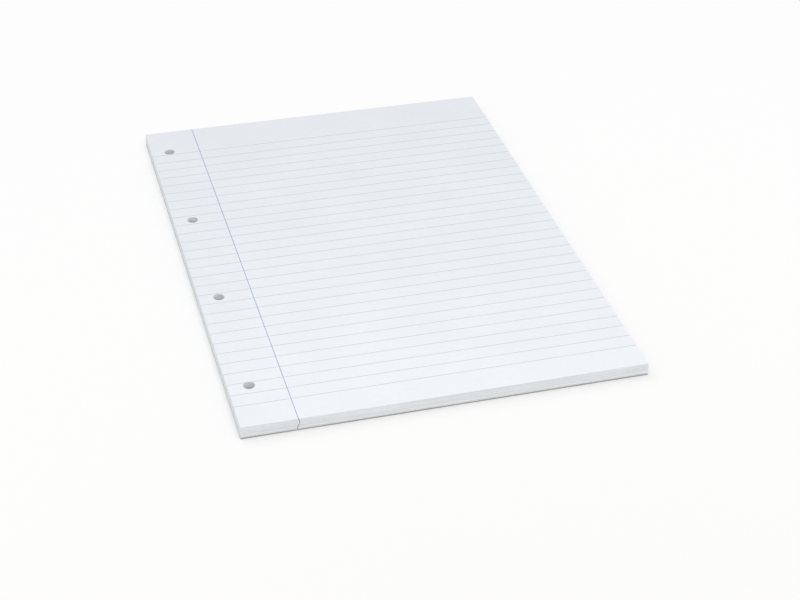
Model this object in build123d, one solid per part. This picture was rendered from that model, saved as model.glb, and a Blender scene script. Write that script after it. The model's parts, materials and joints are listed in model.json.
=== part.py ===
from build123d import *
import os

os.makedirs("parts", exist_ok=True)

# A glued writing pad lying on its backing board: X runs across the page, Y from its foot to
# its head, and Z up through the sheets. The origin is under the middle of the whole pad.

# Sheets, cut to A4
sheet_width = 210.0
sheet_length = 297.0
sheet_count = 100
sheet_thickness = 0.063

# Backing board, trimmed flush with the sheets
board_thickness = 0.6

# Film of padding glue over the head edge, rounded along its two long outer borders
glue_thickness = 0.3
glue_border_radius = 0.2

# Row of holes drilled through sheets and board, beside the left edge
hole_diameter = 6.0
hole_count = 4
hole_pitch = 80.0
hole_margin = 11.0
row_above_middle = 4.0

block_height = sheet_count * sheet_thickness
pad_height = board_thickness + block_height
sheet_middle_y = -glue_thickness / 2
head_y = sheet_middle_y + sheet_length / 2
left_x = -sheet_width / 2


def hole_centres():
    """Centres of the drilled row, from the foot of the page to its head."""
    row_length = hole_pitch * (hole_count - 1)
    first_y = sheet_middle_y + row_above_middle - row_length / 2
    return [(left_x + hole_margin, first_y + hole_pitch * i) for i in range(hole_count)]


def drilled_slab(bottom, thickness):
    """A layer of the pad with the sheet's outline and the drilled row through it."""
    with BuildPart() as slab:
        with BuildSketch(Plane.XY.offset(bottom)):
            with Locations((0, sheet_middle_y)):
                Rectangle(sheet_width, sheet_length)
            with Locations(*hole_centres()):
                Circle(hole_diameter / 2, mode=Mode.SUBTRACT)
        extrude(amount=thickness)
    return slab.part


def back_board():
    """The stiff board under the last sheet."""
    return drilled_slab(0, board_thickness)


def sheet_block():
    """All the sheets, which lie face to face and are held only at the head."""
    return drilled_slab(board_thickness, block_height)


def glue_strip():
    """The glue film, flat against the cut head of sheets and board, over the whole width."""
    with BuildPart() as film:
        with BuildSketch(Plane.YZ.offset(left_x)):
            with Locations((head_y, 0)):
                section = Rectangle(glue_thickness, pad_height, align=Align.MIN)
            outer_corners = section.vertices().group_by(Axis.X)[-1]
            fillet(outer_corners, glue_border_radius)
        extrude(amount=sheet_width)
    return film.part


for piece in (back_board, sheet_block, glue_strip):
    solid = piece()
    solid.label = piece.__name__
    export_step(solid, f"parts/{piece.__name__}.step")
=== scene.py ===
import json
import math

import bpy
import numpy as np
from mathutils import Matrix, Vector
from mathutils.geometry import delaunay_2d_cdt


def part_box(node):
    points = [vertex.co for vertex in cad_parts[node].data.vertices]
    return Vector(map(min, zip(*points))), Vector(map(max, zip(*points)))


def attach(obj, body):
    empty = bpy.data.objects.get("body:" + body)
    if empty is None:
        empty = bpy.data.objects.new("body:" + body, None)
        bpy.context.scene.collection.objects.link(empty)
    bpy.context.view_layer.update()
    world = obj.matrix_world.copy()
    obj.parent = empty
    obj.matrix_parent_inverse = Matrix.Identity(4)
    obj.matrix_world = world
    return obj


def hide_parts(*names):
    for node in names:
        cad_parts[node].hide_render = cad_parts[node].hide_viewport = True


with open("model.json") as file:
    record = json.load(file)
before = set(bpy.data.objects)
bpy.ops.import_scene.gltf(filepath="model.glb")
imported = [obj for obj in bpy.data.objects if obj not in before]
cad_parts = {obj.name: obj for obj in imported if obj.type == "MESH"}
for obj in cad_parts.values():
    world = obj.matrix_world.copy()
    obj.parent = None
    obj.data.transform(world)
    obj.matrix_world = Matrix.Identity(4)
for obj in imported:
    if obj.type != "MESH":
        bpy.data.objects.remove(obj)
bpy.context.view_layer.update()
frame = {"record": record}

MM = 0.001
BAKE_MAP = "OFBake"
noise = np.random.default_rng(seed=9)

# Places and sizes that come from the frame
block_low, block_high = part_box("sheet_block")
board_low, board_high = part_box("back_board")
glue_low, glue_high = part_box("glue_strip")
holes = [m for m in frame["record"]["mounts"] if m["kind"] == "bore"]

# Sheets: how far inside the block they were cut, how they have slipped since, and how they lie
SHEETS = 100
SHEET_THICKNESS = 0.063 * MM
TRIM = 0.24 * MM
SLIP_ACROSS = 0.13 * MM
SLIP_ALONG = 0.15 * MM
EDGE_GROOVE = 0.018 * MM
RIPPLE = 0.05 * MM
RIPPLE_LENGTHS = (190 * MM, 120 * MM, 83 * MM, 61 * MM)
LIFT = 0.1 * MM
SHEET_GAP = 0.004 * MM

# Print on the page, from its left edge and its foot, and how it drifts from sheet to sheet
RULES = 29
RULE_PITCH = 9.0 * MM
LOWEST_RULE = 17.0 * MM
RULE_WIDTH = 0.3 * MM
MARGIN_PLACE = 28.8 * MM
MARGIN_WIDTH = 0.4 * MM
RULE_DRIFT = 0.15 * MM
MARGIN_DRIFT = 0.5 * MM
MARGIN_TURNS = 0.85

# Spacing of mesh points, and the least room that an edge between two gets on a bake map
EDGE_STEP = 4.5 * MM
PAGE_STEP = 6.0 * MM
HOLE_STEP = math.radians(15)
MAP_ROOM = 0.9 * MM

# Places nearer to each other than this are the same
SAME_PLACE = 1e-6 * MM

# Faces that meet at more than this angle have a sharp edge between them
SHARP_ANGLE = math.radians(28)

# The dip that the drill leaves round each hole, and its circles of points, as shares of its width
ROLLOVER = 0.9 * MM
ROLLOVER_DEPTH = 0.07 * MM
DIP_CIRCLES = (0.4, 1)

# The board's cut edges: how far inside they lie at shares of its thickness, and how rough they are
BOARD_PROFILE = [(0.12 * MM, 0), (0.03 * MM, 0.18), (0, 0.5), (0.02 * MM, 0.85), (0.09 * MM, 1)]
BOARD_ROUGH_IN = 0.03 * MM
BOARD_ROUGH_OUT = 0.02 * MM

# The glue film: how deep its back lies in the cut edges, and its long borders' insets and wandering
GLUE_OVERLAP = 0.02 * MM
GLUE_TOP_INSET = 0.08 * MM
GLUE_TOP_WANDER = 0.06 * MM
GLUE_BOTTOM_INSET = 0.07 * MM
GLUE_BOTTOM_WANDER = 0.05 * MM

# Its thickness as shares of the film's: the usual, how far a brush stroke changes it, and the least
GLUE_FULLNESS = 0.8
GLUE_STROKE = 0.16
GLUE_THINNEST = 0.12

# The page's sides are walls 0 to 3, and the holes come after them
SIDES = 4

page_left, page_foot = block_low.x + TRIM, block_low.y + TRIM
page_right, page_head = block_high.x - TRIM, block_high.y
margin_x = block_low.x + MARGIN_PLACE
rule_ys = np.array([block_low.y + LOWEST_RULE + RULE_PITCH * i for i in range(RULES)])
margin_edges = [margin_x - MARGIN_WIDTH / 2, margin_x + MARGIN_WIDTH / 2]
rule_edges = [y + side * RULE_WIDTH / 2 for y in rule_ys for side in (-1, 1)]


def areas(left, bottom, right, top, count=1, side_by_side=False):
    """Cuts a part of a bake map into areas with a gap round each, as left, bottom, right, top."""
    gap = 0.002
    low, high = (left, right) if side_by_side else (bottom, top)
    cuts = np.linspace(low, high, count + 1)
    made = []
    for a, b in zip(cuts, cuts[1:]):
        area = (a, bottom, b, top) if side_by_side else (left, a, right, b)
        made.append([area[0] + gap, area[1] + gap, area[2] - gap, area[3] - gap])
    return np.array(made)


def one_area(left, bottom, right, top):
    """An area of a bake map, with a gap round it."""
    return areas(left, bottom, right, top)[0]


def onto_area(area, across, up):
    """Places on an area of a bake map, at shares of its width and height."""
    left, bottom, right, top = np.moveaxis(np.asarray(area), -1, 0)
    return np.stack([left + across * (right - left), bottom + up * (top - bottom)], axis=-1)


def stops(low, high, step, marks):
    """Places from low to high, about a step apart, with every mark and none close beside one."""
    even = np.linspace(low, high, max(1, round((high - low) / step)) + 1)
    marks = np.array([m for m in marks if low < m < high])
    clear = [s for s in even[1:-1] if not len(marks) or np.abs(marks - s).min() > step / 3]
    return np.array(sorted([low, high, *clear, *marks]))


class Ring:
    """A closed line of points on the plan, each with the way out of the paper there. The edge
    from each to the next has a number of wall, and its start and end as shares of that wall."""

    def __init__(self, points, outward, wall, start, end):
        self.points, self.outward = np.array(points), np.array(outward, float)
        self.wall, self.start, self.end = np.array(wall), np.array(start), np.array(end)
        self.on_margin = self.on_rule = np.zeros(len(points), bool)


def page_outline():
    """The page's edge, anticlockwise from the left foot corner."""
    xs = stops(page_left, page_right, EDGE_STEP, margin_edges)
    ys = stops(page_foot, page_head, EDGE_STEP, rule_edges)
    sides = [
        ([(x, page_foot) for x in xs], (0, -1)),
        ([(page_right, y) for y in ys], (1, 0)),
        ([(x, page_head) for x in xs[::-1]], (0, 1)),
        ([(page_left, y) for y in ys[::-1]], (-1, 0)),
    ]
    points, outward, wall, start, end = [], [], [], [], []
    for number, (places, way) in enumerate(sides):
        lengths = np.linalg.norm(np.diff(places, axis=0), axis=1)
        run = np.concatenate([[0], np.cumsum(np.maximum(lengths, MAP_ROOM))])
        corner_way = np.add(way, sides[number - 1][1])
        points += places[:-1]
        outward += [corner_way] + [way] * (len(places) - 2)
        wall += [number] * (len(places) - 1)
        start += list(run[:-1] / run[-1])
        end += list(run[1:] / run[-1])
    ring = Ring(points, outward, wall, start, end)
    ring.on_margin = np.isin(ring.points[:, 0], margin_edges)
    ring.on_rule = np.isin(ring.points[:, 1], rule_edges)
    return ring


def hole_outline(number, mount):
    """A drilled hole's edge, with points where a ruled line meets it."""
    centre = np.array(mount["pos_m"][:2])
    radius = mount["dims"]["r_mm"] * MM
    rises = [(e - centre[1]) / radius for e in rule_edges if abs(e - centre[1]) < radius]
    marks = [a % math.tau for r in rises for a in (math.asin(r), math.pi - math.asin(r))]
    angles = stops(0, math.tau, HOLE_STEP, marks)
    spokes = np.stack([np.cos(angles[:-1]), np.sin(angles[:-1])], axis=1)
    shares = angles / math.tau
    wall = [SIDES + number] * len(spokes)
    return Ring(centre + radius * spokes, -spokes, wall, shares[:-1], shares[1:])


outline = page_outline()
hole_rings = [hole_outline(i, m) for i, m in enumerate(holes)]


def smooth_run(count, knots, amount):
    """A slow random run of values between plus and minus amount."""
    values = noise.uniform(-amount, amount, knots)
    places = np.linspace(0, knots - 1, count)
    low = np.minimum(places.astype(int), knots - 2)
    t = places - low
    t = t * t * (3 - 2 * t)
    return values[low] * (1 - t) + values[low + 1] * t


def random_waves(amount, lengths):
    """Waves over the page, each as its amount, its rate along X and Y, and its phase."""
    waves = []
    for length in lengths:
        turn, phase = noise.uniform(0, math.tau, 2)
        rate = math.tau / length * np.array([math.cos(turn), math.sin(turn)])
        waves.append((amount / len(lengths), rate, phase))
    return waves


page_waves = random_waves(RIPPLE, RIPPLE_LENGTHS)


def surface(points):
    """Height of the stack's ripples and of the dips at its holes."""
    height = np.zeros(len(points))
    for amount, rate, phase in page_waves:
        height += amount * np.sin(points @ rate + phase)
    for mount in holes:
        away = np.linalg.norm(points - np.array(mount["pos_m"][:2]), axis=1)
        away -= mount["dims"]["r_mm"] * MM
        height -= ROLLOVER_DEPTH * np.clip(1 - away / ROLLOVER, 0, 1) ** 2
    return height


def page_shares(points):
    """How far across the page and how far up it each point lies, from 0 to 1."""
    across = (points[..., 0] - page_left) / (page_right - page_left)
    up = (points[..., 1] - page_foot) / (page_head - page_foot)
    return across, up


def top_lift(points):
    """How far the top sheet stands off the stack: not at the head, most at the two foot corners,
    and a share of that between them."""
    between_corners = 0.25
    across, up = page_shares(points)
    near_foot = np.clip(1 - up, 0, 1) ** 6
    near_side = (2 * across - 1) ** 4
    return LIFT * near_foot * (between_corners + (1 - between_corners) * near_side)


def per_sheet(knots, slow, quick):
    """A value for each sheet, from a slow run through the stack and a quick one."""
    return smooth_run(SHEETS, knots, slow) + noise.uniform(-quick, quick, SHEETS)


# The stack ends low enough for the top sheet to stay in the block with its lift and ripples
stack_top = block_high.z - SHEET_THICKNESS - RIPPLE - LIFT - SHEET_GAP

# Where each sheet lies, from the lowest to the top one, whose print is in its true place
slip_across = per_sheet(knots=9, slow=0.8 * SLIP_ACROSS, quick=0.2 * SLIP_ACROSS)
slip_along = per_sheet(knots=8, slow=0.8 * SLIP_ALONG, quick=0.2 * SLIP_ALONG)
depth = np.linspace(1, 0, SHEETS)
under_the_top = depth > 0

# The margin's print swings to and fro through the stack, and further out the lower it lies
swing = MARGIN_DRIFT * (0.6 + 0.8 * depth)
margin_drift = swing * np.sin(MARGIN_TURNS * math.tau * depth)
margin_drift += noise.uniform(-0.1, 0.1, SHEETS) * MARGIN_DRIFT * under_the_top
rule_drift = per_sheet(knots=12, slow=RULE_DRIFT, quick=0.4 * RULE_DRIFT) * under_the_top


def slipped(sheet, points):
    """Points of a sheet after it has slipped, which it does most at the foot, away from the glue."""
    free = 1 - page_shares(points)[1][:, None]
    return points + free * np.array([slip_across[sheet], slip_along[sheet]])


def in_a_hole(point):
    return any(math.dist(point, m["pos_m"][:2]) < m["dims"]["r_mm"] * MM for m in holes)


class Plan:
    """Points and lines on the page, each point kept once, that are then filled with triangles.
    Those of the rings come first."""

    def __init__(self):
        self.points = []
        self.found = {}
        self.lines = []
        for ring in [outline, *hole_rings]:
            index = [self.point(*p) for p in ring.points]
            self.lines += list(zip(index, index[1:] + index[:1]))

    def point(self, x, y):
        key = (round(x / MM, 4), round(y / MM, 4))
        if key not in self.found:
            self.found[key] = len(self.points)
            self.points.append((float(x), float(y)))
        return self.found[key]

    def line(self, points):
        """Adds a line through points, broken where it crosses a hole."""
        for a, b in zip(points, points[1:]):
            if not in_a_hole(np.mean([a, b], axis=0)):
                self.lines.append((self.point(*a), self.point(*b)))

    def triangles(self):
        """Triangles over the page and none over a hole, anticlockwise from above: the number of
        each corner, and its place."""
        spread = [Vector((x / MM, y / MM)) for x, y in self.points]
        whole_hull, least_gap, with_numbers = 0, 1e-6, True
        made = delaunay_2d_cdt(spread, self.lines, [], whole_hull, least_gap, with_numbers)
        assert len(made[0]) == len(spread), "two lines of the plan cross where neither has a point"
        given = [ids[0] for ids in made[3]]
        corners = np.array([[given[v] for v in face] for face in made[2]])
        places = np.array(self.points)[corners]
        kept = [not in_a_hole(middle) for middle in places.mean(axis=1)]
        return corners[kept], places[kept]


def ruled_plan():
    """The page with the edges of its ruled lines and margin, and points to carry its ripples."""
    plan = Plan()
    xs = stops(page_left, page_right, PAGE_STEP, margin_edges)
    ys = stops(page_foot, page_head, PAGE_STEP, rule_edges)
    drilled = np.concatenate([ring.points for ring in hole_rings])
    for y in rule_edges:
        crossings = [p[0] for p in drilled if abs(p[1] - y) < SAME_PLACE]
        row = stops(page_left, page_right, PAGE_STEP, [*margin_edges, *crossings])
        plan.line([(x, y) for x in row])
    for x in margin_edges:
        plan.line([(x, y) for y in ys])
    for mount in holes:
        centre = np.array(mount["pos_m"][:2])
        radius = mount["dims"]["r_mm"] * MM
        for share in DIP_CIRCLES:
            away = radius + share * ROLLOVER
            for angle in np.arange(0, math.tau, HOLE_STEP):
                spot = centre + away * np.array([math.cos(angle), math.sin(angle)])
                if np.abs(np.array(rule_edges) - spot[1]).min() > RULE_WIDTH:
                    plan.point(*spot)
    reach = max(m["dims"]["r_mm"] for m in holes) * MM + 2 * ROLLOVER
    for y in sorted(set(ys) - set(rule_edges) - {page_foot, page_head}):
        for x in sorted(set(xs) - set(margin_edges) - {page_left, page_right}):
            if min(math.dist((x, y), m["pos_m"][:2]) for m in holes) > reach:
                plan.point(x, y)
    return plan


class Layout:
    """Where a piece's faces lie on its bake map: its walls, its upper face and its under face."""

    def __init__(self, walls, over, under):
        self.walls, self.over, self.under = walls, over, under


# What shows most gets most room: the stack's walls, the top sheet's face, and the board's underside
broad = one_area(0, 0, 0.7, 0.99)
spare = one_area(0.72, 0.61, 0.99, 0.99)
side_walls = areas(0.71, 0.4, 1, 0.6, count=SIDES + len(holes))
rule_areas = areas(0.71, 0.05, 1, 0.4, count=RULES)
margin_area = one_area(0.71, 0, 1, 0.05)
sheet_layout = Layout(side_walls, over=broad, under=spare)
board_layout = Layout(side_walls, over=spare, under=broad)
stack_sides = areas(0, 0, 1, 0.8, count=SIDES)
stack_holes = areas(0, 0.8, 0.88, 1, count=len(holes), side_by_side=True)
stack_layout = Layout(
    np.concatenate([stack_sides, stack_holes]),
    over=one_area(0.88, 0.9, 1, 1),
    under=one_area(0.88, 0.8, 1, 0.9),
)


class Slab:
    """A closed mesh in the making: levels of rings joined by walls, with a cap at each end."""

    def __init__(self, layout=None):
        self.layout = layout
        self.vertices, self.faces, self.map_places, self.slots = [], [], [], []
        self.count = 0

    def add_points(self, plan, height):
        """Adds points and returns the index of each."""
        self.vertices.append(np.column_stack([plan, height]))
        first, self.count = self.count, self.count + len(plan)
        return np.arange(first, self.count)

    def add_faces(self, faces, map_places, slot):
        """Adds faces, each corner with its place on the bake map, with a material slot for all
        or one for each."""
        self.faces += faces.tolist()
        self.map_places.append(map_places.reshape(-1, 2))
        self.slots.append(np.broadcast_to(slot, len(faces)))

    def wall(self, ring, low, high, low_share, high_share, slot):
        """Joins two levels of a ring, which lie at two shares of the wall's height."""
        quads = np.column_stack([low, np.roll(low, -1), np.roll(high, -1), high])
        across = np.column_stack([ring.start, ring.end, ring.end, ring.start])
        up = np.array([low_share, low_share, high_share, high_share])
        places = onto_area(self.layout.walls[ring.wall][:, None], across, up)
        if ring is not outline:
            quads, places = quads[:, ::-1], places[:, ::-1]
        self.add_faces(quads, places, slot)

    def cap(self, levels, triangles, map_places, facing_up, slot):
        """Closes an end with triangles, whose corners are numbered through its levels."""
        faces = np.concatenate(levels)[triangles]
        if not facing_up:
            faces, map_places = faces[:, ::-1], map_places[:, ::-1]
        self.add_faces(faces, map_places, slot)

    def plain_caps(self, bottom, top, slot):
        """Closes both ends, or the lower one if there is no top."""
        triangles, places = Plan().triangles()
        across, up = page_shares(places)
        self.cap(bottom, triangles, onto_area(self.layout.under, across, up), False, slot)
        if top:
            self.cap(top, triangles, onto_area(self.layout.over, across, up), True, slot)

    def to_object(self, name, materials):
        mesh = bpy.data.meshes.new(name)
        mesh.from_pydata(np.concatenate(self.vertices).tolist(), [], self.faces)
        assert not mesh.validate(), f"{name} has a bad face"
        for material in materials:
            mesh.materials.append(material)
        mesh.polygons.foreach_set("material_index", np.concatenate(self.slots).astype(np.int32))
        places = mesh.uv_layers.new(name=BAKE_MAP)
        places.uv.foreach_set("vector", np.concatenate(self.map_places).ravel())
        mesh.shade_smooth()
        mesh.set_sharp_from_angle(angle=SHARP_ANGLE)
        made = bpy.data.objects.new(name, mesh)
        bpy.context.scene.collection.objects.link(made)
        return made


# Material slots of the sheets
PAPER, CUT_EDGE, RULE_INK, MARGIN_INK, RULE_MARK, MARGIN_MARK = range(6)


def ring_at(slab, ring, sheet, out, height):
    """Adds one ring of a sheet, pushed out of the paper by out, at the height of each point."""
    plan = slipped(sheet, ring.points + ring.outward * out)
    plan[:, 0] += ring.on_margin * margin_drift[sheet]
    plan[:, 1] += ring.on_rule * rule_drift[sheet]
    return slab.add_points(plan, height(plan))


def wall_slots(ring):
    """The material slot of each face of a ring's wall: ink where a printed line is cut through."""
    length = np.linalg.norm(np.roll(ring.points, -1, axis=0) - ring.points, axis=1)
    narrow = length < 2 * MARGIN_WIDTH
    on_margin = ring.on_margin & np.roll(ring.on_margin, -1) & narrow
    on_rule = ring.on_rule & np.roll(ring.on_rule, -1) & narrow
    return np.select([on_margin, on_rule], [MARGIN_MARK, RULE_MARK], CUT_EDGE)


def build_stack(materials):
    """All the sheets but the top one, each a ridge along the block's edges and in its holes."""
    slab = Slab(stack_layout)
    sheets = SHEETS - 1
    thickness = (stack_top - block_low.z) / sheets
    bottom, top = [], []

    def level(up):
        return lambda plan: block_low.z + up * thickness + up / sheets * surface(plan)

    for ring in [outline, *hole_rings]:
        slots = wall_slots(ring)
        low = ring_at(slab, ring, 0, -EDGE_GROOVE, level(0))
        bottom.append(low)
        for sheet in range(sheets):
            middle, next_sheet = sheet + 0.5, sheet + 1
            crest = ring_at(slab, ring, sheet, 0, level(middle))
            high = ring_at(slab, ring, min(next_sheet, sheets - 1), -EDGE_GROOVE, level(next_sheet))
            slab.wall(ring, low, crest, sheet / sheets, middle / sheets, slots)
            slab.wall(ring, crest, high, middle / sheets, next_sheet / sheets, slots)
            low = high
        top.append(low)
    slab.plain_caps(bottom, top, PAPER)
    return slab.to_object("sheet_stack", materials)


def printed_cap(places):
    """The material slots and the map places of the top sheet's upper face, where each printed
    line has a map area of its own."""
    middles = places.mean(axis=1)
    nearest = np.abs(middles[:, 1:2] - rule_ys).argmin(axis=1)
    in_margin = np.abs(middles[:, 0] - margin_x) < MARGIN_WIDTH / 2
    in_rule = (np.abs(middles[:, 1] - rule_ys[nearest]) < RULE_WIDTH / 2) & ~in_margin
    slots = np.select([in_margin, in_rule], [MARGIN_INK, RULE_INK], PAPER)

    across, up = page_shares(places)
    over_rule = (places[..., 1] - rule_ys[nearest][:, None]) / RULE_WIDTH + 0.5
    over_margin = (places[..., 0] - margin_x) / MARGIN_WIDTH + 0.5
    rule, margin = in_rule[:, None], in_margin[:, None]
    area = np.select([margin, rule], [margin_area[None], rule_areas[nearest]], sheet_layout.over[None])
    across, up = (
        np.select([margin, rule], [up, across], across),
        np.select([margin, rule], [over_margin, over_rule], up),
    )
    return slots, onto_area(area[:, None], across, up)


def build_top_sheet(materials):
    """The top sheet, with its print as strips of inked faces in the paper's own surface."""
    slab = Slab(sheet_layout)
    sheet = SHEETS - 1
    under, over = [], []

    def level(share):
        height = stack_top + SHEET_GAP + share * SHEET_THICKNESS
        return lambda plan: height + surface(plan) + top_lift(plan)

    for ring in [outline, *hole_rings]:
        low = ring_at(slab, ring, sheet, -EDGE_GROOVE / 2, level(0))
        crest = ring_at(slab, ring, sheet, 0, level(0.5))
        high = ring_at(slab, ring, sheet, -EDGE_GROOVE / 2, level(1))
        slab.wall(ring, low, crest, 0, 0.5, wall_slots(ring))
        slab.wall(ring, crest, high, 0.5, 1, wall_slots(ring))
        under.append(low)
        over.append(high)
    slab.plain_caps(under, None, PAPER)

    plan = ruled_plan()
    on_rings = sum(len(index) for index in over)
    inner = slipped(sheet, np.array(plan.points[on_rings:]))
    over.append(slab.add_points(inner, level(1)(inner)))
    triangles, places = plan.triangles()
    slots, map_places = printed_cap(places)
    slab.cap(over, triangles, map_places, True, slots)
    return slab.to_object("top_sheet", materials)


def build_board():
    """The backing board, its cut edges slightly crushed by the knife and the drill."""
    slab = Slab(board_layout)
    thickness = board_high.z - board_low.z
    shares = [share for _, share in BOARD_PROFILE]
    bottom, top = [], []
    for ring in [outline, *hole_rings]:
        rough = noise.uniform(-BOARD_ROUGH_IN, BOARD_ROUGH_OUT, len(ring.points))[:, None]
        beyond_sheets = TRIM / 2 if ring is outline else 0
        levels = []
        for inset, share in BOARD_PROFILE:
            plan = ring.points + ring.outward * (rough + beyond_sheets - inset)
            plan[:, 1] = np.minimum(plan[:, 1], page_head)
            levels.append(slab.add_points(plan, np.full(len(plan), board_low.z + share * thickness)))
        for low, high, low_share, high_share in zip(levels, levels[1:], shares, shares[1:]):
            slab.wall(ring, low, high, low_share, high_share, 0)
        bottom.append(levels[0])
        top.append(levels[-1])
    slab.plain_caps(bottom, top, 0)
    return slab.to_object("backing_board", [board_material()])


def glue_sections(slab):
    """Adds the glue film's cross-sections, from left to right. Each goes from the back of the
    bottom border over the outer face to the back of the top border. Returns the points'
    indices."""
    columns, rows = 260, 16
    border_knots, stroke_knots = 70, 24
    film = glue_high.y - glue_low.y
    back = glue_low.y - GLUE_OVERLAP
    xs = np.linspace(glue_low.x + TRIM, glue_high.x - TRIM, columns)
    top = glue_high.z - RIPPLE - LIFT - GLUE_TOP_INSET
    bottom = glue_low.z + GLUE_BOTTOM_INSET
    top_border = top + smooth_run(columns, border_knots, GLUE_TOP_WANDER)
    bottom_border = bottom + smooth_run(columns, border_knots, GLUE_BOTTOM_WANDER)
    strokes = np.array([smooth_run(columns, stroke_knots, GLUE_STROKE) for _ in range(rows)])
    share = (np.arange(rows) + 0.5) / rows
    rounded = 1 - np.abs(2 * share - 1) ** 8

    sections = []
    for i, x in enumerate(xs):
        z = bottom_border[i] + (top_border[i] - bottom_border[i]) * share
        full = np.clip(rounded * (GLUE_FULLNESS + strokes[:, i]), GLUE_THINNEST, 1)
        ys = [back, *(glue_low.y + film * full), back]
        plan = np.array([(x, y) for y in ys])
        sections.append(slab.add_points(plan, np.array([bottom_border[i], *z, top_border[i]])))
    return np.array(sections)


def build_glue():
    """The glue film: brushed on in strokes along the head, with ragged borders."""
    slab = Slab()
    sections = glue_sections(slab)
    run = np.linspace(0, 1, len(sections))
    around = np.linspace(0, 1, len(sections[0]))
    map_left, map_right, map_top = 0.02, 0.98, 0.97

    # The outer face, and the back that lies in the cut edges, which is over it on the map
    strips = (
        (sections, around, one_area(map_left, 0, map_right, map_top)),
        (sections[:, [-1, 0]], np.array([0, 1]), one_area(map_left, map_top, map_right, 1)),
    )
    for strip, steps, place in strips:
        a, b = strip[:-1], strip[1:]
        quads = np.stack([a[:, :-1], a[:, 1:], b[:, 1:], b[:, :-1]], axis=-1)
        shape = quads.shape[:2]
        left, right = (np.broadcast_to(r[:, None], shape) for r in (run[:-1], run[1:]))
        low, high = (np.broadcast_to(s[None], shape) for s in (steps[:-1], steps[1:]))
        across = np.stack([left, left, right, right], axis=-1)
        up = np.stack([low, high, high, low], axis=-1)
        slab.add_faces(quads.reshape(-1, 4), onto_area(place, across, up), 0)

    # The two ends, which lie beside it on the map, as half rounds
    bulge = np.sin(math.pi * around)
    ends = (
        (sections[0][::-1], one_area(0, 0, map_left, 1)),
        (sections[-1], one_area(map_right, 0, 1, 1)),
    )
    for end, place in ends:
        slab.add_faces(end[None], onto_area(place, bulge, around), 0)
    return slab.to_object("glue_film", [glue_material()])


def linear(red, green, blue):
    """A colour from 0 to 255 as the eye sees it, in the linear light that the shaders take."""
    shares = [c / 255 for c in (red, green, blue)]
    return tuple(s / 12.92 if s <= 0.04045 else ((s + 0.055) / 1.055) ** 2.4 for s in shares)


PAPER_WHITE = linear(236, 240, 246)


def darker(colour, share):
    return tuple(c * share for c in colour)


def add_node(tree, kind, inputs=(), **settings):
    """Adds a node with its settings. Each input is a value, or a socket to link from."""
    made = tree.nodes.new(kind)
    for name, value in settings.items():
        setattr(made, name, value)
    for name, value in dict(inputs).items():
        if isinstance(value, bpy.types.NodeSocket):
            tree.links.new(value, made.inputs[name])
        else:
            made.inputs[name].default_value = value
    return made


def new_material(name, roughness=0.5, specular=0.3):
    """A material with its node tree, shader and object coordinates."""
    material = bpy.data.materials.new(name)
    material.use_nodes = True
    tree = material.node_tree
    shader = tree.nodes["Principled BSDF"]
    shader.inputs["Roughness"].default_value = roughness
    shader.inputs["Specular IOR Level"].default_value = specular
    place = add_node(tree, "ShaderNodeTexCoord").outputs["Object"]
    return material, tree, shader, place


def grain(tree, place, size, stretch=(1, 1, 1), detail=2.0, roughness=0.5):
    """Noise from 0 to 1 with features of about the given size, longer along a stretched axis."""
    scaled = add_node(tree, "ShaderNodeMapping", {"Vector": place, "Scale": [1 / s for s in stretch]})
    inputs = {
        "Vector": scaled.outputs["Vector"],
        "Scale": 1 / size,
        "Detail": detail,
        "Roughness": roughness,
    }
    return add_node(tree, "ShaderNodeTexNoise", inputs).outputs["Fac"]


def remap(tree, value, low, high, to_low, to_high):
    """A value moved from one range to another, and kept within it."""
    inputs = {"Value": value, "From Min": low, "From Max": high, "To Min": to_low, "To Max": to_high}
    return add_node(tree, "ShaderNodeMapRange", inputs).outputs["Result"]


def maths(tree, operation, a, b):
    return add_node(tree, "ShaderNodeMath", {0: a, 1: b}, operation=operation).outputs[0]


def blend_colours(tree, share, a, b):
    """A colour between a and b. Each is a socket or a linear RGB triple."""
    made = add_node(tree, "ShaderNodeMix", {0: share}, data_type="RGBA")
    for number, colour in ((6, a), (7, b)):
        if isinstance(colour, bpy.types.NodeSocket):
            tree.links.new(colour, made.inputs[number])
        else:
            made.inputs[number].default_value = (*colour, 1)
    return made.outputs[2]


def tinted(tree, colour, other, pattern, low, high, most=1):
    """A colour that turns to another as a pattern goes from low to high, at most by a share."""
    return blend_colours(tree, remap(tree, pattern, low, high, 0, most), colour, other)


def set_bump(tree, shader, height, distance):
    bump = add_node(tree, "ShaderNodeBump", {"Height": height, "Distance": distance})
    tree.links.new(bump.outputs["Normal"], shader.inputs["Normal"])


def paper_bump(tree, shader, place):
    """The tooth of uncoated paper."""
    tooth = grain(tree, place, size=0.16 * MM, detail=3.0, roughness=0.6)
    set_bump(tree, shader, tooth, distance=0.012 * MM)


def paper_material():
    """White paper: slow clouds over the page, its finer formation, and single fibres."""
    material, tree, shader, place = new_material("writing_paper", roughness=0.82)
    clouds = grain(tree, place, size=45 * MM, detail=1.0)
    formation = grain(tree, place, size=3.2 * MM, detail=3.0)
    fibres = grain(tree, place, size=0.35 * MM, stretch=(1, 3.5, 1), detail=2.0)
    colour = tinted(tree, PAPER_WHITE, darker(PAPER_WHITE, 0.975), clouds, low=0.3, high=0.7)
    colour = tinted(tree, colour, darker(PAPER_WHITE, 0.95), formation, low=0.45, high=0.8, most=0.6)
    colour = tinted(tree, colour, darker(PAPER_WHITE, 0.94), fibres, low=0.6, high=0.85, most=0.5)
    tree.links.new(colour, shader.inputs["Base Color"])
    paper_bump(tree, shader, place)
    return material


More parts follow.
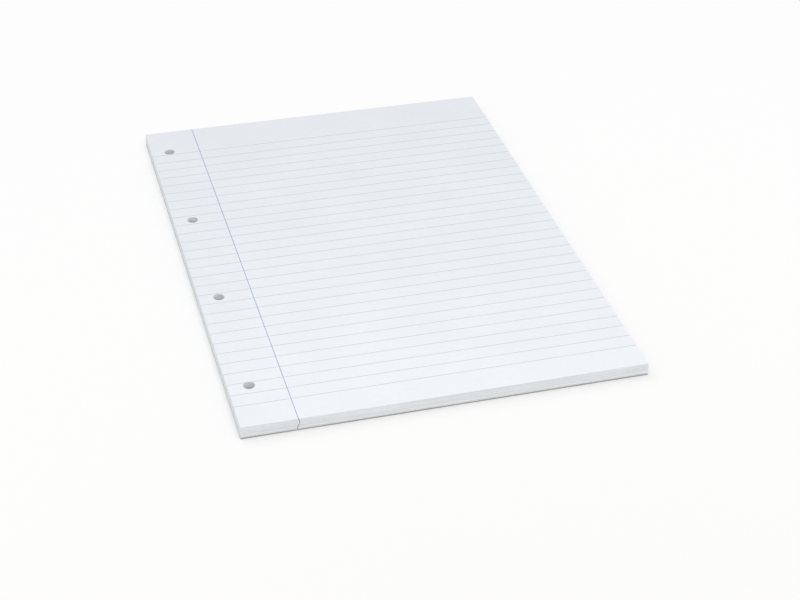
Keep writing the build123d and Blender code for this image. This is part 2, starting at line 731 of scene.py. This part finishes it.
def cut_edge_material():
    """The guillotined edges: sheets in slightly lighter and darker bands, and knife marks."""
    material, tree, shader, place = new_material("cut_paper_edge", roughness=0.88, specular=0.2)
    light = linear(238, 242, 245)
    batches = grain(tree, place, size=0.45 * MM, stretch=(90, 90, 1), detail=3.0, roughness=0.7)
    knife = grain(tree, place, size=0.3 * MM, stretch=(1, 1, 30), detail=2.0)
    colour = tinted(tree, light, darker(light, 0.9), batches, low=0.35, high=0.65)
    colour = tinted(tree, colour, darker(light, 0.88), knife, low=0.55, high=0.8, most=0.5)
    tree.links.new(colour, shader.inputs["Base Color"])
    set_bump(tree, shader, knife, distance=0.012 * MM)
    return material


def ink_material(name, full):
    """Printing ink, which sinks unevenly into the paper and takes its tooth."""
    material, tree, shader, place = new_material(name, roughness=0.7)
    uneven = grain(tree, place, size=0.8 * MM, detail=3.0)
    faint = tuple(0.75 * ink + 0.25 * paper for ink, paper in zip(full, PAPER_WHITE))
    colour = tinted(tree, full, faint, uneven, low=0.35, high=0.75)
    tree.links.new(colour, shader.inputs["Base Color"])
    paper_bump(tree, shader, place)
    return material


def board_material():
    """Grey chipboard: pulp with lighter and darker fibres and specks."""
    material, tree, shader, place = new_material("grey_chipboard", roughness=0.9, specular=0.2)
    pulp = linear(178, 177, 173)
    pale_grey = linear(192, 190, 184)
    dark_grey = linear(112, 110, 106)
    clouds = grain(tree, place, size=9 * MM, detail=4.0, roughness=0.6)
    fibres = grain(tree, place, size=0.5 * MM, stretch=(1, 5, 1), detail=3.0)
    specks = grain(tree, place, size=0.45 * MM, stretch=(4, 1, 1), detail=3.0)
    colour = tinted(tree, pulp, darker(pulp, 0.85), clouds, low=0.35, high=0.65)
    colour = tinted(tree, colour, pale_grey, fibres, low=0.58, high=0.72, most=0.7)
    colour = tinted(tree, colour, dark_grey, specks, low=0.62, high=0.75, most=0.8)
    tree.links.new(colour, shader.inputs["Base Color"])
    set_bump(tree, shader, fibres, distance=0.05 * MM)
    return material


def glue_material():
    """Dried white padding glue, a little glossy, with brush streaks."""
    material, tree, shader, place = new_material("padding_glue", specular=0.5)
    light = linear(236, 238, 237)
    thick_glue = linear(240, 241, 239)
    streaks = grain(tree, place, size=0.5 * MM, stretch=(25, 25, 1), detail=3.0)
    blots = grain(tree, place, size=4 * MM, detail=2.0)
    colour = tinted(tree, light, darker(light, 0.87), streaks, low=0.35, high=0.7)
    colour = tinted(tree, colour, thick_glue, blots, low=0.5, high=0.8, most=0.6)
    tree.links.new(colour, shader.inputs["Base Color"])
    roughness = remap(tree, blots, low=0.3, high=0.7, to_low=0.36, to_high=0.55)
    tree.links.new(roughness, shader.inputs["Roughness"])
    set_bump(tree, shader, streaks, distance=0.06 * MM)
    return material


def build_pad():
    """Builds the pieces, and says what each rides on and which node it replaces."""
    sheet_materials = [
        paper_material(),
        cut_edge_material(),
        ink_material("rule_ink", linear(179, 184, 203)),
        ink_material("margin_ink", linear(141, 157, 195)),
        ink_material("rule_marks", linear(168, 174, 190)),
        ink_material("margin_marks", linear(136, 144, 164)),
    ]
    pieces = [
        (build_stack(sheet_materials), "sheet_block", "paper"),
        (build_top_sheet(sheet_materials), "sheet_block", "paper"),
        (build_board(), "back_board", "greyboard"),
        (build_glue(), "glue_strip", "padding_glue"),
    ]
    for piece, node, slot in pieces:
        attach(piece, "root")
        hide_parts(node)


# Where the lamps stand. The softbox points straight down.
KEY_SPOT = Vector((-0.6, 0.85, 1.4))
SOFTBOX_SPOT = Vector((0, -0.5, 0.68))

# The floor, and the glow that is seen on it under the softbox and far away from it
FLOOR_HALF_WIDTH = 4.0
FLOOR_GAP = 0.02 * MM
FLOOR_COLOUR = (0.81, 0.81, 0.815, 1)
GLOW_UNDER_SOFTBOX = 0.014
GLOW_FAR_AWAY = 0.3

# The sky, and its strength as light on the object and as seen
SKY_COLOUR = (1.0, 0.99, 0.99, 1)
SKY_LIGHT = 0.715
SKY_SEEN = 1.0


def seen_directly(tree):
    """1 for what the camera sees, straight or in a reflection, and 0 for light on the object."""
    path = add_node(tree, "ShaderNodeLightPath")
    seen = path.outputs["Is Camera Ray"]
    for other in ("Is Glossy Ray", "Is Transmission Ray"):
        seen = maths(tree, "MAXIMUM", seen, path.outputs[other])
    return seen


def build_floor():
    """A plain pale floor. Seen directly it glows a little, and more away from the softbox, whose
    light falls off as the fourth power of height over distance, so it looks evenly white."""
    half = FLOOR_HALF_WIDTH
    level = board_low.z - FLOOR_GAP
    mesh = bpy.data.meshes.new("floor")
    corners = [(x * half, y * half, level) for x, y in ((-1, -1), (1, -1), (1, 1), (-1, 1))]
    mesh.from_pydata(corners, [], [(0, 1, 2, 3)])
    material, tree, shader, place = new_material("floor", roughness=0.95, specular=0.0)
    shader.inputs["Base Color"].default_value = FLOOR_COLOUR
    shader.inputs["Emission Color"].default_value = (1, 1, 1, 1)
    away = add_node(tree, "ShaderNodeVectorMath", {0: place, 1: SOFTBOX_SPOT}, operation="DISTANCE")
    nearness = maths(tree, "DIVIDE", SOFTBOX_SPOT.z, away.outputs["Value"])
    softbox_light = maths(tree, "POWER", nearness, 4.0)
    glow = remap(tree, softbox_light, 0, 1, GLOW_FAR_AWAY, GLOW_UNDER_SOFTBOX)
    seen_glow = maths(tree, "MULTIPLY", glow, seen_directly(tree))
    tree.links.new(seen_glow, shader.inputs["Emission Strength"])
    mesh.materials.append(material)
    made = bpy.data.objects.new("floor", mesh)
    bpy.context.scene.collection.objects.link(made)


def build_world():
    """An even sky, seen as white."""
    world = bpy.data.worlds.new("studio")
    bpy.context.scene.world = world
    world.use_nodes = True
    tree = world.node_tree
    background = tree.nodes["Background"]
    background.inputs["Color"].default_value = SKY_COLOUR
    strength = remap(tree, seen_directly(tree), 0, 1, SKY_LIGHT, SKY_SEEN)
    tree.links.new(strength, background.inputs["Strength"])


def add_lamp(lamp, spot, direction):
    """Puts a lamp at a spot, shining in a direction."""
    made = bpy.data.objects.new(lamp.name, lamp)
    made.location = spot
    made.rotation_mode = "QUATERNION"
    made.rotation_quaternion = direction.to_track_quat("-Z", "Y")
    bpy.context.scene.collection.objects.link(made)


def build_lights():
    """A broad soft key from the back left, and a softbox in front of the foot of the page."""
    key = bpy.data.lights.new("key", "SUN")
    key.energy = 0.5
    key.angle = math.radians(50)
    key.color = (0.97, 1.0, 1.0)
    add_lamp(key, KEY_SPOT, -KEY_SPOT)

    softbox = bpy.data.lights.new("softbox", "AREA")
    softbox.shape = "SQUARE"
    softbox.size = 0.4
    softbox.energy = 1.73
    softbox.color = (1.0, 1.0, 0.94)
    add_lamp(softbox, SOFTBOX_SPOT, Vector((0, 0, -1)))


def build_camera():
    """The photograph's view, placed from the near left corner of the page."""
    picture_width = 800
    focal_length_pixels = 1764.1
    corner = Vector((block_low.x, block_low.y, block_high.z))
    spot = corner + Vector((-110.8, -655.4, 526.8)) * MM
    heading, pitch, roll = math.radians(-16.1), math.radians(34.32), math.radians(1.07)
    data = bpy.data.cameras.new("camera")
    data.sensor_width = 36.0
    data.lens = focal_length_pixels * data.sensor_width / picture_width
    data.clip_start, data.clip_end = 0.01, 20
    camera = bpy.data.objects.new("camera", data)
    turn = (
        Matrix.Rotation(heading, 4, "Z")
        @ Matrix.Rotation(math.pi / 2 - pitch, 4, "X")
        @ Matrix.Rotation(roll, 4, "Z")
    )
    camera.matrix_world = Matrix.Translation(spot) @ turn
    bpy.context.scene.collection.objects.link(camera)
    bpy.context.scene.camera = camera


build_pad()
build_floor()
build_world()
build_lights()
build_camera()
bpy.context.scene.view_settings.view_transform = "Standard"
